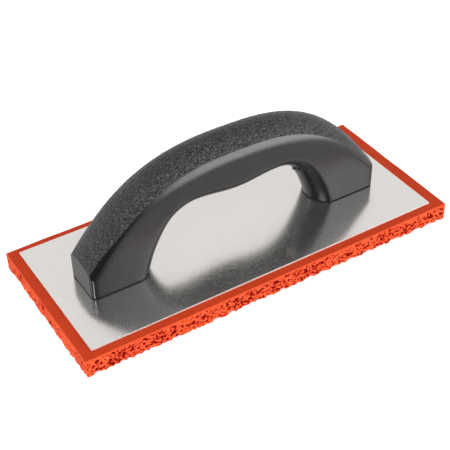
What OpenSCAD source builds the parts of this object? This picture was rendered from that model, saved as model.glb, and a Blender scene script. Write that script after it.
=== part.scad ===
// Grout float: a coarse sponge rubber pad under an aluminium backing plate, with an arched
// two-foot hand grip. The origin is the middle of the pad's working face, with +X along the
// long side, +Y across it and +Z up through the grip. Sizes are in millimetres.

/* [Pad] */
// Length of the rubber pad
pad_length = 240; // [200:1:300]
// Width of the rubber pad
pad_width = 102; // [90:1:130]
// Thickness of the open-cell sponge layer
sponge_height = 10.5; // [6:0.5:16]
// Thickness of the smooth rubber layer on top of the sponge
skin_height = 1.0; // [1:0.1:2]
// Radius of the pad's upright corners
pad_corner = 1; // [0.5:0.1:4]

/* [Backing plate] */
// Length of the aluminium plate
plate_length = 225; // [194:1:230]
// Width of the aluminium plate
plate_width = 91.6; // [80:0.1:95]
// Thickness of the aluminium plate
plate_thickness = 1; // [0.8:0.1:2]
// Radius of the plate's corners
plate_corner = 0.6; // [0.5:0.1:6]
// Thickness of the glue between plate and pad
glue_thickness = 0.2; // [0.1:0.05:0.4]
// How far plate and handle sit off the pad's middle, along X
offset_x = -1.2; // [-3:0.1:3]

/* [Handle] */
// Overall length of the handle, from end face to end face
handle_length = 190; // [180:1:192]
// Width of the handle between its flat sides
handle_width = 27.2; // [24:0.1:34]
// Height of the top of the grip above the pad's working face
grip_height = 82; // [78:0.5:86]
// Height of the flat end faces above the plate
end_face_height = 18; // [14:0.5:20]
// How far the rounded underside bulges below the edges of the flat sides
underside_bulge = 8.8; // [6:0.1:10]
// How much lower the finger swell hangs in the middle of the grip
finger_swell = 2.4; // [0:0.1:4]
// Thickness of the grained cover on top of the grip
cover_thickness = 1.8; // [1:0.1:2.5]

/* [Screws] */
// Diameter of the screws that hold the handle
screw_diameter = 4; // [3:0.1:5]
// Length of a screw under its head
screw_length = 16; // [12:1:18]
// Diameter of a screw's head
head_diameter = 9; // [7:0.5:10]
// Height of a screw's head
head_height = 2.2; // [1.6:0.1:2.6]
// Distance from a foot's end face to its outer screw
screw_inset = 9; // [8:0.5:11]
// Distance between the two screws of a foot
screw_spacing = 16; // [14:0.5:17]

/* [Hidden] */

// Layers, from the working face up
pad_height = sponge_height + skin_height;
plate_bottom = pad_height + glue_thickness;
plate_top = plate_bottom + plate_thickness;

// Glue stops short of the plate's edge
glue_setback = 1;

// Screws, clearances and recess
hole_clearance = 0.5;
bore_clearance = 0.2;
bore_spare_depth = 2;
pocket_clearance = 0.5;
pocket_floor_gap = 0.4;
drive_recess_across = 3.2;
drive_recess_depth = 1.2;
screw_tip_length = 3;
round_fn = 48;
cut = 1;

// Inner line of the arch, where the flat sides meet the rounded underside: a level stretch, a
// tight arc at the shoulder and a wide arc down the leg
half_level = 27;
shoulder_radius = 28.5;
shoulder_angle = 55;
leg_radius = 85;
grip_depth = 26.2;
inner_height = grip_height - grip_depth;
half_swell = 26;
leg_start_x = half_level + shoulder_radius * sin(shoulder_angle);
leg_start_z = inner_height - shoulder_radius * (1 - cos(shoulder_angle));
leg_end_angle = acos(cos(shoulder_angle) - (leg_start_z - plate_top) / leg_radius);
shoulder_arc = shoulder_radius * shoulder_angle * PI / 180;
leg_arc = leg_radius * (leg_end_angle - shoulder_angle) * PI / 180;
inner_run = half_level + shoulder_arc + leg_arc;

// Outer line of the arch: a power curve from the top of the grip down to the end face
half_length = handle_length / 2;
half_width = handle_width / 2;
end_face_top = plate_top + end_face_height;
crown_power = 2.8;
crown_drop = grip_height - end_face_top;
foot_run = 8;
end_face_run = inner_run - foot_run;
sweep_rate = 0.6;

// Upper line of the flat sides, which end in a rounded upright corner
corner_inset = 2.3;
crown_rise = 9.1;
side_height = grip_height - crown_rise;
side_power = 2.3;
side_sweep_power = 1.1;
side_end_height = 13.3;
side_end_z = plate_top + side_end_height;
corner_sharpness = 0.3;
corner_onset_power = 6;

// Rounding across the crown, in degrees from one flat side to the other
cover_edge_angle = 16;
band_angle = cover_edge_angle / 2;
cover_steps = 10;
cover_step = (180 - 2 * cover_edge_angle) / cover_steps;
crown_angles = [
    0,
    band_angle,
    for (i = [0 : cover_steps]) cover_edge_angle + i * cover_step,
    180 - band_angle,
    180
];
cover_first = 2;
cover_last = len(crown_angles) - 3;
underside_steps = 10;

// Stations along half the arch, with a pair where the cover ends
seam_gap = 0.1;
arch_steps = 22;
foot_steps = 3;
half_stations = [
    for (i = [1 : arch_steps]) end_face_run * i / arch_steps,
    for (i = [0 : foot_steps])
        end_face_run + seam_gap + (foot_run - seam_gap) * i / foot_steps
];
stations = [
    for (i = [len(half_stations) - 1 : -1 : 0]) -half_stations[i],
    0,
    for (s = half_stations) s
];
cover_stations = [for (s = stations) if (abs(s) <= end_face_run) s];

// How far a station is along the sweep from the middle (0) to the end face (1)
function sweep(run) = min(1, sin(sweep_rate * run) / sin(sweep_rate * end_face_run));
// How far a station is down the end face, from its top (0) to the plate (1)
function down(run) = max(0, (run - end_face_run) / (inner_run - end_face_run));

// Direction of the inner line at a distance along it: 0 is level, 90 points straight down
function inner_angle(run) =
    run < half_level ? 0
    : run < half_level + shoulder_arc ? (run - half_level) / shoulder_radius * 180 / PI
    : shoulder_angle + (run - half_level - shoulder_arc) / leg_radius * 180 / PI;

// Point [x, z] of the inner line, without the finger swell
function inner_plain(run) = let (a = inner_angle(run))
    run < half_level ? [run, inner_height]
    : run < half_level + shoulder_arc
        ? [half_level + shoulder_radius * sin(a), inner_height - shoulder_radius * (1 - cos(a))]
    : [
        leg_start_x + leg_radius * (sin(a) - sin(shoulder_angle)),
        leg_start_z - leg_radius * (cos(shoulder_angle) - cos(a))
    ];
function swell(x) = x < half_swell ? finger_swell / 2 * (1 + cos(180 * x / half_swell)) : 0;
function inner_line(run) = let (p = inner_plain(run)) [p[0], p[1] - swell(p[0])];

// Point [x, z] of the crown's middle line
function crown_line(run) = let (x = half_length * sweep(run))
    [x, grip_height - crown_drop * pow(sweep(run), crown_power) - end_face_height * down(run)];

// Point [x, z] of the flat side's upper line
function side_line(run) = let (part = pow(sweep(run), side_sweep_power))
    [
        (half_length - corner_inset) * part,
        side_height - (side_height - side_end_z) * pow(part, side_power)
            - (side_end_z - plate_top) * down(run)
    ];

// How far the underside bulges at a distance across the handle
bulge_radius = (pow(half_width, 2) + pow(underside_bulge, 2)) / (2 * underside_bulge);
function bulge(y) = sqrt(pow(bulge_radius, 2) - pow(y, 2)) - (bulge_radius - underside_bulge);

// A point of the crown, as [x, y, z] on the +X half, sunk below the surface by depth
function crown_point(run, angle, depth) =
    let (
        side = side_line(run),
        top = crown_line(run),
        inner = inner_line(run),
        squareness = 1 - (1 - corner_sharpness) * pow(sweep(run), corner_onset_power),
        rise = angle == 0 || angle == 180 ? 0 : sin(angle),
        x = side[0] + (top[0] - side[0]) * pow(rise, squareness),
        z = side[1] + (top[1] - side[1]) * rise,
        reach = norm(top - inner),
        back = (inner - top) / reach * depth
    )
    [x + back[0], half_width * cos(angle), z + back[1]];

// A point of the underside, as [x, y, z] on the +X half
function underside_point(run, y) =
    let (
        inner = inner_line(run),
        lean = inner_angle(run) * 90 / leg_end_angle,
        depth = bulge(y)
    )
    [inner[0] - depth * sin(lean), y, inner[1] - depth * cos(lean)];

// The same point on the half of the handle that a signed run names
function placed(run, p) = [(run < 0 ? -p[0] : p[0]) + offset_x, p[1], p[2]];

function crown_row(run, depth) = [
    for (i = [0 : len(crown_angles) - 1])
        let (sunk = i > cover_first && i < cover_last ? depth : 0)
        placed(run, crown_point(abs(run), crown_angles[i], sunk))
];
function underside_row(run) = [
    for (i = [1 : underside_steps - 1])
        placed(run, underside_point(abs(run), handle_width * i / underside_steps - half_width))
];
function crease(run, y) = placed(run, underside_point(abs(run), y));

// One closed ring of the core: over the crown from +Y to -Y, then back along the underside
function core_ring(run) = concat(
    crown_row(run, abs(run) <= end_face_run ? cover_thickness : 0),
    [crease(run, -half_width)],
    underside_row(run),
    [crease(run, half_width)]
);

// One closed ring of the cover: over its outer face, then back along its inner face
function cover_ring(run) =
    let (outer = crown_row(run, 0), inner = crown_row(run, cover_thickness))
    concat(
        [for (i = [cover_first : cover_last]) outer[i]],
        [for (i = [cover_last - 1 : -1 : cover_first + 1]) inner[i]]
    );

function joined(rows) = [for (row = rows) each row];

// Triangles between neighbouring rings
function side_faces(rings, size) = [
    for (i = [0 : rings - 2], j = [0 : size - 1])
        let (a = i * size + j, b = i * size + (j + 1) % size, c = b + size, d = a + size)
        each [[a, d, c], [a, c, b]]
];

// Triangles that close one end of the cover, in pairs between its outer and inner faces
function end_cap(first, size, outer_last, flip) = [
    for (i = [0 : outer_last - 1])
        let (
            a = first + i,
            b = first + i + 1,
            c = first + (size - i - 1) % size,
            d = first + (size - i) % size
        )
        each [
            for (t = [[a, b, c], [a, c, d]])
                if (t[0] != t[2] && t[1] != t[2] && t[0] != t[1])
                    flip ? [t[2], t[1], t[0]] : t
        ]
];

// Slab with rounded upright corners, standing on z = 0
module slab(length, width, height, corner) {
    linear_extrude(height)
        union() {
            square([length - 2 * corner, width], center = true);
            square([length, width - 2 * corner], center = true);
            for (x = [-1, 1], y = [-1, 1])
                translate([x * (length / 2 - corner), y * (width / 2 - corner)])
                    circle(r = corner, $fn = round_fn);
        }
}

// Repeats its children at the four screws
module at_screws() {
    for (side = [-1, 1], i = [0, 1])
        translate([offset_x + side * (half_length - screw_inset - i * screw_spacing), 0, 0])
            children();
}

// Room for the screw heads in the rubber
module head_pockets() {
    at_screws()
        translate([0, 0, plate_bottom - head_height - pocket_floor_gap])
            cylinder(
                d = head_diameter + 2 * pocket_clearance,
                h = head_height + pocket_floor_gap + cut,
                $fn = round_fn
            );
}

module sponge_pad() {
    color("#f0593a")
        difference() {
            slab(pad_length, pad_width, sponge_height, pad_corner);
            head_pockets();
        }
}

module pad_skin() {
    color("#d54d2e")
        difference() {
            translate([0, 0, sponge_height])
                slab(pad_length, pad_width, skin_height, pad_corner);
            head_pockets();
        }
}

module adhesive_film() {
    color("#7a2c1c")
        difference() {
            translate([offset_x, 0, pad_height])
                slab(plate_length - 2 * glue_setback, plate_width - 2 * glue_setback, glue_thickness,
                    plate_corner);
            head_pockets();
        }
}

module backing_plate() {
    color("#d8d6d2")
        difference() {
            translate([offset_x, 0, plate_bottom])
                slab(plate_length, plate_width, plate_thickness, plate_corner);
            at_screws()
                translate([0, 0, plate_bottom - cut])
                    cylinder(d = screw_diameter + hole_clearance, h = plate_thickness + 2 * cut, $fn = round_fn);
        }
}

module handle_core() {
    rings = [for (run = stations) core_ring(run)];
    size = len(rings[0]);
    last = (len(rings) - 1) * size;
    color("#4a4a4c")
        difference() {
            polyhedron(
                points = joined(rings),
                faces = concat(
                    side_faces(len(rings), size),
                    [[for (j = [0 : size - 1]) j]],
                    [[for (j = [size - 1 : -1 : 0]) last + j]]
                )
            );
            at_screws()
                translate([0, 0, plate_top - cut])
                    cylinder(
                        d = screw_diameter + bore_clearance,
                        h = screw_length - plate_thickness + bore_spare_depth + cut,
                        $fn = round_fn
                    );
        }
}

module grip_cover() {
    rings = [for (run = cover_stations) cover_ring(run)];
    size = len(rings[0]);
    last = (len(rings) - 1) * size;
    outer_last = cover_last - cover_first;
    color("#3a3a3c")
        polyhedron(
            points = joined(rings),
            faces = concat(
                side_faces(len(rings), size),
                end_cap(0, size, outer_last, false),
                end_cap(last, size, outer_last, true)
            )
        );
}

module handle_screws() {
    color("#9a9a98")
        at_screws() {
            difference() {
                translate([0, 0, plate_bottom - head_height])
                    cylinder(d = head_diameter, h = head_height, $fn = round_fn);
                translate([0, 0, plate_bottom - head_height - cut])
                    linear_extrude(drive_recess_depth + cut)
                        circle(d = drive_recess_across, $fn = 6);
            }
            translate([0, 0, plate_bottom])
                cylinder(d = screw_diameter, h = screw_length - screw_tip_length, $fn = round_fn);
            translate([0, 0, plate_bottom + screw_length - screw_tip_length])
                cylinder(d1 = screw_diameter, d2 = screw_diameter / 4, h = screw_tip_length, $fn = round_fn);
        }
}

sponge_pad();
pad_skin();
adhesive_film();
backing_plate();
handle_core();
grip_cover();
handle_screws();
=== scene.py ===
"""Grout float: a sponge rubber pad, an aluminium backing plate and an arched plastic handle.

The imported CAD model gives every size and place. Each sub-assembly below is a class that models
its own pieces, dresses them in procedural finishes and rides them on the CAD body. The studio,
with its floor, lights and camera, is a class of its own.
"""

from __future__ import annotations

import logging
import math
from dataclasses import dataclass, field
from enum import Enum
from typing import Callable, Iterable

import bmesh
import bpy
import numpy as np
from mathutils import Matrix, Vector
from mathutils.kdtree import KDTree

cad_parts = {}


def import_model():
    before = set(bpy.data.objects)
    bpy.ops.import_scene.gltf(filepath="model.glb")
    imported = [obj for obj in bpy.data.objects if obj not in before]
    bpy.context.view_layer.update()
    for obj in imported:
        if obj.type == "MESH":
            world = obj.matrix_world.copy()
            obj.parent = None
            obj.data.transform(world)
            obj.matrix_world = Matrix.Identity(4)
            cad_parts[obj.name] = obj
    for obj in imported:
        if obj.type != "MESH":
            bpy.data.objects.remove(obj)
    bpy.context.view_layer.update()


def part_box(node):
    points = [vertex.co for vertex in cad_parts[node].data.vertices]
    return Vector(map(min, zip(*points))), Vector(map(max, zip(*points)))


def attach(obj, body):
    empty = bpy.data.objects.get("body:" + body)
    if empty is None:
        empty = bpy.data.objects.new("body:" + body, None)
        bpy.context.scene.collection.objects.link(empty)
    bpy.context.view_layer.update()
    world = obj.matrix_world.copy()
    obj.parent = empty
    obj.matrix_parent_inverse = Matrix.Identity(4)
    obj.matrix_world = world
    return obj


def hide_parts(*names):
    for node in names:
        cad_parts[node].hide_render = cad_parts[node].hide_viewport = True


LOG = logging.getLogger("grout_float")
MM = 0.001
BODY = "root"
TOUCH = 0.01 * MM
SIDES = ((0, -1), (0, 1), (1, -1), (1, 1))
CUT_FACES = (*SIDES, (2, -1))
FACE_AXES = {0: (1, 2), 1: (0, 2), 2: (0, 1)}
Point = tuple[float, float, float]
Rgb = tuple[float, float, float]


class Node(Enum):
    """The CAD nodes of the float."""

    SPONGE = "sponge_pad"
    SKIN = "pad_skin"
    GLUE = "adhesive_film"
    PLATE = "backing_plate"
    CORE = "handle_core"
    COVER = "grip_cover"
    SCREWS = "handle_screws"


@dataclass(frozen=True)
class Box:
    """The box of a CAD node at rest, in metres."""

    low: Vector
    high: Vector

    @classmethod
    def of(cls, node: Node) -> "Box":
        """Reads the box of one CAD node.

        Args:
            node: The CAD node.

        Returns:
            Its box.
        """
        low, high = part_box(node.value)
        return cls(Vector(low), Vector(high))

    @property
    def centre(self) -> Vector:
        """The middle of the box."""
        return (self.low + self.high) / 2

    @property
    def size(self) -> Vector:
        """The box's length, width and height."""
        return self.high - self.low

    def face(self, axis: int, sign: int) -> float:
        """Where the face that looks along an axis, or back along it, lies on that axis."""
        return self.high[axis] if sign > 0 else self.low[axis]


# ---------------------------------------------------------------------------------------------
# Modelling helpers
# ---------------------------------------------------------------------------------------------


def deselect_all() -> None:
    """Leaves edit mode and deselects every object."""
    if bpy.context.object and bpy.context.object.mode != "OBJECT":
        bpy.ops.object.mode_set(mode="OBJECT")
    bpy.ops.object.select_all(action="DESELECT")


def make_active(piece: bpy.types.Object) -> None:
    """Selects one object alone and makes it active."""
    deselect_all()
    piece.select_set(True)
    bpy.context.view_layer.objects.active = piece


def settle(piece: bpy.types.Object) -> None:
    """Puts a piece's place, turn and scale into its mesh."""
    make_active(piece)
    bpy.ops.object.transform_apply(location=True, rotation=True, scale=True)


def apply_modifier(piece: bpy.types.Object, kind: str, **settings: object) -> None:
    """Adds one modifier and applies it at once.

    Args:
        piece: The mesh object.
        kind: The modifier's type.
        settings: Its values, by name.
    """
    make_active(piece)
    modifier = piece.modifiers.new(kind.title(), kind)
    for name, value in settings.items():
        setattr(modifier, name, value)
    bpy.ops.object.modifier_apply(modifier=modifier.name)


def round_edges(piece: bpy.types.Object, radius: float) -> None:
    """Rounds a piece's square edges to a radius in metres."""
    limit = math.radians(60)
    apply_modifier(piece, "BEVEL", width=radius, segments=3, limit_method="ANGLE", angle_limit=limit)


def smooth(piece: bpy.types.Object, angle: float) -> None:
    """Shades a piece smooth, and sharp where its faces turn by more than an angle in degrees."""
    make_active(piece)
    bpy.ops.object.shade_smooth_by_angle(angle=math.radians(angle))


def true_flats(piece: bpy.types.Object) -> None:
    """Keeps the shading of large flat faces flat beside their rounded edges."""
    apply_modifier(piece, "WEIGHTED_NORMAL", weight=100, keep_sharp=True)


def select_edges(piece: bpy.types.Object, wanted: Callable[[bmesh.types.BMEdge], bool]) -> None:
    """Selects the edges that pass a test, in edit mode.

    Args:
        piece: The active mesh object, in edit mode.
        wanted: The test.
    """
    bpy.ops.mesh.select_mode(type="EDGE")
    bpy.ops.mesh.select_all(action="DESELECT")
    mesh = bmesh.from_edit_mesh(piece.data)
    for edge in mesh.edges:
        edge.select_set(wanted(edge))
    bmesh.update_edit_mesh(piece.data)


def read_points(piece: bpy.types.Object) -> np.ndarray:
    """Returns the mesh's points as rows of x, y, z."""
    points = np.empty(len(piece.data.vertices) * 3, dtype=np.float64)
    piece.data.vertices.foreach_get("co", points)
    return points.reshape(-1, 3)


def write_points(piece: bpy.types.Object, points: np.ndarray) -> None:
    """Moves the mesh's points to the rows of x, y, z given."""
    piece.data.vertices.foreach_set("co", points.astype(np.float32).ravel())
    piece.data.update()


@dataclass
class Loft:
    """A closed solid extruded through a row of outlines, as one end face is drawn along."""

    name: str
    rings: list[np.ndarray]

    def build(self) -> bpy.types.Object:
        """Extrudes the first outline from station to station, setting each outline in its place.

        Returns:
            A closed mesh object with a flat face at each end.
        """
        deselect_all()
        size = len(self.rings[0])
        bpy.ops.mesh.primitive_circle_add(vertices=size, radius=0.01, fill_type="NOTHING")
        piece = bpy.context.object
        piece.name = self.name
        bpy.ops.object.mode_set(mode="EDIT")
        mesh = bmesh.from_edit_mesh(piece.data)
        for vert, place in zip(mesh.verts, self.rings[0]):
            vert.co = Vector(place)
        bpy.ops.mesh.select_all(action="SELECT")
        bpy.ops.mesh.edge_face_add()
        bpy.ops.mesh.select_mode(type="FACE")
        for before, after in zip(self.rings, self.rings[1:]):
            bpy.ops.mesh.extrude_region_move()
            mesh = bmesh.from_edit_mesh(piece.data)
            face = next(f for f in mesh.faces if f.select)
            places = np.array([v.co for v in face.verts])
            order = np.linalg.norm(places[:, None] - before[None], axis=2).argmin(axis=1)
            for vert, index in zip(face.verts, order):
                vert.co = Vector(after[index])
        bmesh.update_edit_mesh(piece.data)
        bpy.ops.mesh.select_all(action="SELECT")
        bpy.ops.mesh.normals_make_consistent(inside=False)
        bpy.ops.object.mode_set(mode="OBJECT")
        settle(piece)
        return piece

    def indices(self, piece: bpy.types.Object) -> tuple[np.ndarray, np.ndarray]:
        """Finds which ring and which point of it each vertex of the solid is.

        Args:
            piece: The solid, before any modifier.

        Returns:
            The ring's number and the point's number, for each vertex.
        """
        places = np.concatenate(self.rings)
        finder = KDTree(len(places))
        for number, place in enumerate(places):
            finder.insert(place, number)
        finder.balance()
        found = np.array([finder.find(v.co)[1] for v in piece.data.vertices])
        return np.divmod(found, len(self.rings[0]))


def crease(piece: bpy.types.Object, wanted: Callable[[int, int], bool]) -> None:
    """Makes the edges that pass a test stay sharp under a subdivision surface.

    Args:
        piece: The mesh object.
        wanted: The test, given an edge's two vertex numbers.
    """
    make_active(piece)
    bpy.ops.object.mode_set(mode="EDIT")
    select_edges(piece, lambda edge: wanted(edge.verts[0].index, edge.verts[1].index))
    bpy.ops.transform.edge_crease(value=1.0)
    bpy.ops.object.mode_set(mode="OBJECT")


def carve(piece: bpy.types.Object, centres: Iterable[Vector], radius: float, length: float) -> None:
    """Drills round upright holes into a piece.

    Args:
        piece: The mesh object.
        centres: The middle of each hole.
        radius: The holes' radius in metres.
        length: The holes' length in metres.
    """
    deselect_all()
    drills = []
    for centre in centres:
        bpy.ops.mesh.primitive_cylinder_add(vertices=48, radius=radius, depth=length, location=centre)
        drills.append(bpy.context.object)
    for drill in drills:
        drill.select_set(True)
    bpy.ops.object.join()
    cutter = bpy.context.object
    settle(cutter)
    apply_modifier(piece, "BOOLEAN", operation="DIFFERENCE", solver="EXACT", object=cutter)
    deselect_all()
    cutter.select_set(True)
    bpy.ops.object.delete()


def hand_over(piece: bpy.types.Object, slot: str, *nodes: Node) -> bpy.types.Object:
    """Rides a finished piece on the float and hides the CAD nodes that it stands for.

    Args:
        piece: The finished mesh object.
        slot: Not used.
        nodes: The CAD nodes that the piece replaces.

    Returns:
        The piece.
    """
    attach(piece, BODY)
    if nodes:
        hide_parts(*(node.value for node in nodes))
    LOG.info("%s: %d vertices, rides on %s", piece.name, len(piece.data.vertices), BODY)
    return piece


# ---------------------------------------------------------------------------------------------
# Finishes
# ---------------------------------------------------------------------------------------------

Socket = bpy.types.NodeSocket
Value = float | Socket


class Board:
    """A node tree under construction, with short calls for the nodes used most."""

    def __init__(self, tree: bpy.types.NodeTree) -> None:
        """Starts on a node tree."""
        self.tree = tree

    def node(self, kind: str, inputs: dict[str | int, object], **settings: object) -> bpy.types.Node:
        """Adds a node.

        Args:
            kind: The node's type, without the leading ShaderNode.
            inputs: Values or sockets for its inputs, by name or number.
            settings: The node's own settings.

        Returns:
            The node.
        """
        made = self.tree.nodes.new("ShaderNode" + kind)
        for name, value in settings.items():
            setattr(made, name, value)
        for name, value in inputs.items():
            if isinstance(value, bpy.types.NodeSocket):
                self.tree.links.new(value, made.inputs[name])
            else:
                made.inputs[name].default_value = value
        return made

    def math(self, operation: str, first: Value, second: Value = 0.0, clamp: bool = False) -> Socket:
        """Works on one or two numbers."""
        made = self.node("Math", {0: first, 1: second}, operation=operation, use_clamp=clamp)
        return made.outputs[0]

    def fade(self, value: Socket, start: float, end: float) -> Socket:
        """Goes smoothly from 0 at one value to 1 at another."""
        inputs = {"Value": value, "From Min": start, "From Max": end}
        return self.node("MapRange", inputs, interpolation_type="SMOOTHSTEP").outputs["Result"]


class Sketch(Board):
    """A material under construction, with the patterns that the finishes share."""

    def __init__(self, name: str) -> None:
        """Starts a material with one Principled shader.

        Args:
            name: The material's name.
        """
        self.material = bpy.data.materials.new(name)
        self.material.use_nodes = True
        super().__init__(self.material.node_tree)
        self.shader = self.tree.nodes["Principled BSDF"]
        self.place = self.node("TexCoord", {}).outputs["Object"]

    def set(self, **values: object) -> None:
        """Sets the shader's own sockets, with underscores for the spaces in their names."""
        for name, value in values.items():
            self.shader.inputs[name.replace("_", " ")].default_value = value

    def link(self, source: Socket, name: str) -> None:
        """Links a socket to one of the shader's inputs."""
        self.tree.links.new(source, self.shader.inputs[name])

    def noise(self, scale: float, detail: float = 2.0, stretch: Point = (1, 1, 1)) -> Socket:
        """Noise from 0 to 1 on the piece's own coordinates, with scale in features a metre."""
        place = self.node("Mapping", {"Vector": self.place, "Scale": stretch}).outputs[0]
        inputs = {"Vector": place, "Scale": scale, "Detail": detail}
        return self.node("TexNoise", inputs).outputs["Fac"]

    def cells(self, scale: float, output: str = "Distance", **settings: object) -> Socket:
        """Round cells on the piece's own coordinates, with scale in cells a metre."""
        inputs = {"Vector": self.place, "Scale": scale}
        return self.node("TexVoronoi", inputs, **settings).outputs[output]

    def ribs(self, pitch: float) -> Socket:
        """Straight ridges that run along Y, from 0 in a groove to 1 on a ridge."""
        parts = self.node("SeparateXYZ", {0: self.place})
        wave = self.math("SINE", self.math("MULTIPLY", parts.outputs[0], 2 * math.pi / pitch))
        return self.math("ADD", 0.5, self.math("MULTIPLY", wave, 0.5))

    def mix(self, share: Value, first: Rgb | Socket, second: Rgb | Socket) -> Socket:
        """Mixes two colours.

        Args:
            share: The second colour's share.
            first: The first colour.
            second: The second colour.

        Returns:
            The mixed colour.
        """
        made = self.node("Mix", {0: share}, data_type="RGBA")
        for number, colour in ((6, first), (7, second)):
            if isinstance(colour, bpy.types.NodeSocket):
                self.tree.links.new(colour, made.inputs[number])
            else:
                made.inputs[number].default_value = (*colour, 1.0)
        return made.outputs[2]

    def bump(
        self, height: Socket, distance: float, strength: float = 1.0, after: Socket | None = None
    ) -> Socket:
        """Turns a height into a bumped normal.

        Args:
            height: The height, from 0 to 1.
            distance: The height of 1 in metres.
            strength: The share of the effect.
            after: A normal to add to.

        Returns:
            The normal.
        """
        inputs = {"Height": height, "Distance": distance, "Strength": strength}
        if after is not None:
            inputs["Normal"] = after
        return self.node("Bump", inputs).outputs["Normal"]

    def spot(self, centre: Point, radius: float) -> Socket:
        """A round spot, 1 in its middle and fading to 0 at its radius."""
        away = self.node("VectorMath", {0: self.place, 1: centre}, operation="DISTANCE").outputs["Value"]
        return self.fade(away, radius, 0.2 * radius)

    def axis_distances(self, box: Box) -> tuple[Socket, Socket, Socket]:
        """Tells how far a point of the surface is inside a box.

        Args:
            box: The box.

        Returns:
            The distances from its ends, its sides and its floor, in metres.
        """
        parts = self.node("SeparateXYZ", {0: self.place})
        from_middle_x = self.math("ABSOLUTE", self.math("SUBTRACT", parts.outputs[0], box.centre.x))
        from_middle_y = self.math("ABSOLUTE", self.math("SUBTRACT", parts.outputs[1], box.centre.y))
        ends = self.math("SUBTRACT", box.size.x / 2, from_middle_x)
        sides = self.math("SUBTRACT", box.size.y / 2, from_middle_y)
        floor = self.math("SUBTRACT", parts.outputs[2], box.low.z)
        return ends, sides, floor


@dataclass(frozen=True)
class SpongeFinish:
    """Open-cell red rubber: bright torn cell walls, with painted shade that darkens them to deep red in the
    hollows.
    """

    wall: Rgb = (0.78, 0.108, 0.036)
    # inner and hollow are painted shade: the colour darkens with depth into the pits, where shade falls;
    # inner also tints the random mottle.
    inner: Rgb = (0.58, 0.030, 0.009)
    hollow: Rgb = (0.26, 0.003, 0.001)
    half_shade_depth: tuple[float, float] = (0.25 * MM, 0.46 * MM)
    full_shade_depth: tuple[float, float] = (0.42 * MM, 0.74 * MM)
    roughness: float = 0.7

    def build(self, box: Box) -> bpy.types.Material:
        """Makes the material.

        Args:
            box: The sponge's box, from which the depth of a hollow is told.

        Returns:
            The material.
        """
        sketch = Sketch("sponge_rubber")
        ends, sides, floor = sketch.axis_distances(box)
        depth = sketch.math("MINIMUM", sketch.math("MINIMUM", ends, sides), floor)
        small = sketch.cells(1150.0)
        mottle = sketch.noise(420.0, 3.0)
        # Painted shade: the deeper a point lies in a pit or a small pore, the darker its colour.
        shade_depth = sketch.math("ADD", depth, sketch.math("MULTIPLY", sketch.fade(small, 0.42, 0.18), 0.35 * MM))
        half_shaded = sketch.mix(sketch.fade(shade_depth, *self.half_shade_depth), self.wall, self.inner)
        colour = sketch.mix(sketch.fade(shade_depth, *self.full_shade_depth), half_shaded, self.hollow)
        patches = sketch.math("MULTIPLY", sketch.fade(mottle, 0.5, 0.75), 0.5)
        colour = sketch.mix(patches, colour, self.inner)
        sketch.link(colour, "Base Color")
        rough_skin = sketch.bump(sketch.noise(2600.0, 3.0), 0.12 * MM)
        sketch.link(sketch.bump(sketch.fade(small, 0.1, 0.45), 0.3 * MM, 0.8, rough_skin), "Normal")
        sketch.set(Roughness=self.roughness, Specular_IOR_Level=0.06)
        return sketch.material


@dataclass(frozen=True)
class SkinFinish:
    """The closed, matt skin of the rubber sheet, with the fine ribs of its mould, painted shade in their
    grooves and a painted highlight along its cut edge.
    """

    body: Rgb = (0.51, 0.044, 0.009)
    pale: Rgb = (0.60, 0.062, 0.015)
    # edge is a painted highlight along the cut edge and its rounded rim.
    edge: Rgb = (0.72, 0.090, 0.028)
    # groove is painted shade in the rib grooves.
    groove: Rgb = (0.36, 0.023, 0.004)
    rib_pitch: float = 1.1 * MM
    rib_height: float = 0.10 * MM
    edge_highlight_width: tuple[float, float] = (0.9 * MM, 0.25 * MM)
    roughness: float = 0.65

    def build(self, box: Box) -> bpy.types.Material:
        """Makes the material.

        Args:
            box: The skin's box, from which its cut edge is told.

        Returns:
            The material.
        """
        sketch = Sketch("smooth_rubber")
        ends, sides, _ = sketch.axis_distances(box)
        # Painted highlight: the colour lightens towards the cut edge.
        cut = sketch.fade(sketch.math("MINIMUM", ends, sides), *self.edge_highlight_width)
        patches = sketch.fade(sketch.noise(75.0, 4.0), 0.35, 0.7)
        colour = sketch.mix(sketch.math("MULTIPLY", patches, 0.45), self.body, self.pale)
        specks = sketch.fade(sketch.noise(1900.0, 2.0), 0.60, 0.72)
        colour = sketch.mix(sketch.math("MULTIPLY", specks, 0.25), colour, self.pale)
        ribs = sketch.ribs(self.rib_pitch)
        # Painted shade: the ribs' grooves are darkened in colour as well as bumped.
        groove_shade = sketch.math("MULTIPLY", sketch.fade(ribs, 0.7, 0.2), 0.9)
        colour = sketch.mix(groove_shade, colour, self.groove)
        sketch.link(sketch.mix(sketch.math("MULTIPLY", cut, 0.75), colour, self.edge), "Base Color")
        fine = sketch.bump(sketch.noise(3200.0, 2.0), 0.05 * MM)
        ribbed = sketch.bump(ribs, self.rib_height, 1.0, fine)
        sketch.link(sketch.bump(sketch.noise(260.0, 3.0), 0.12 * MM, 0.6, ribbed), "Normal")
        sketch.set(Roughness=self.roughness, Specular_IOR_Level=0.10)
        return sketch.material


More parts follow.
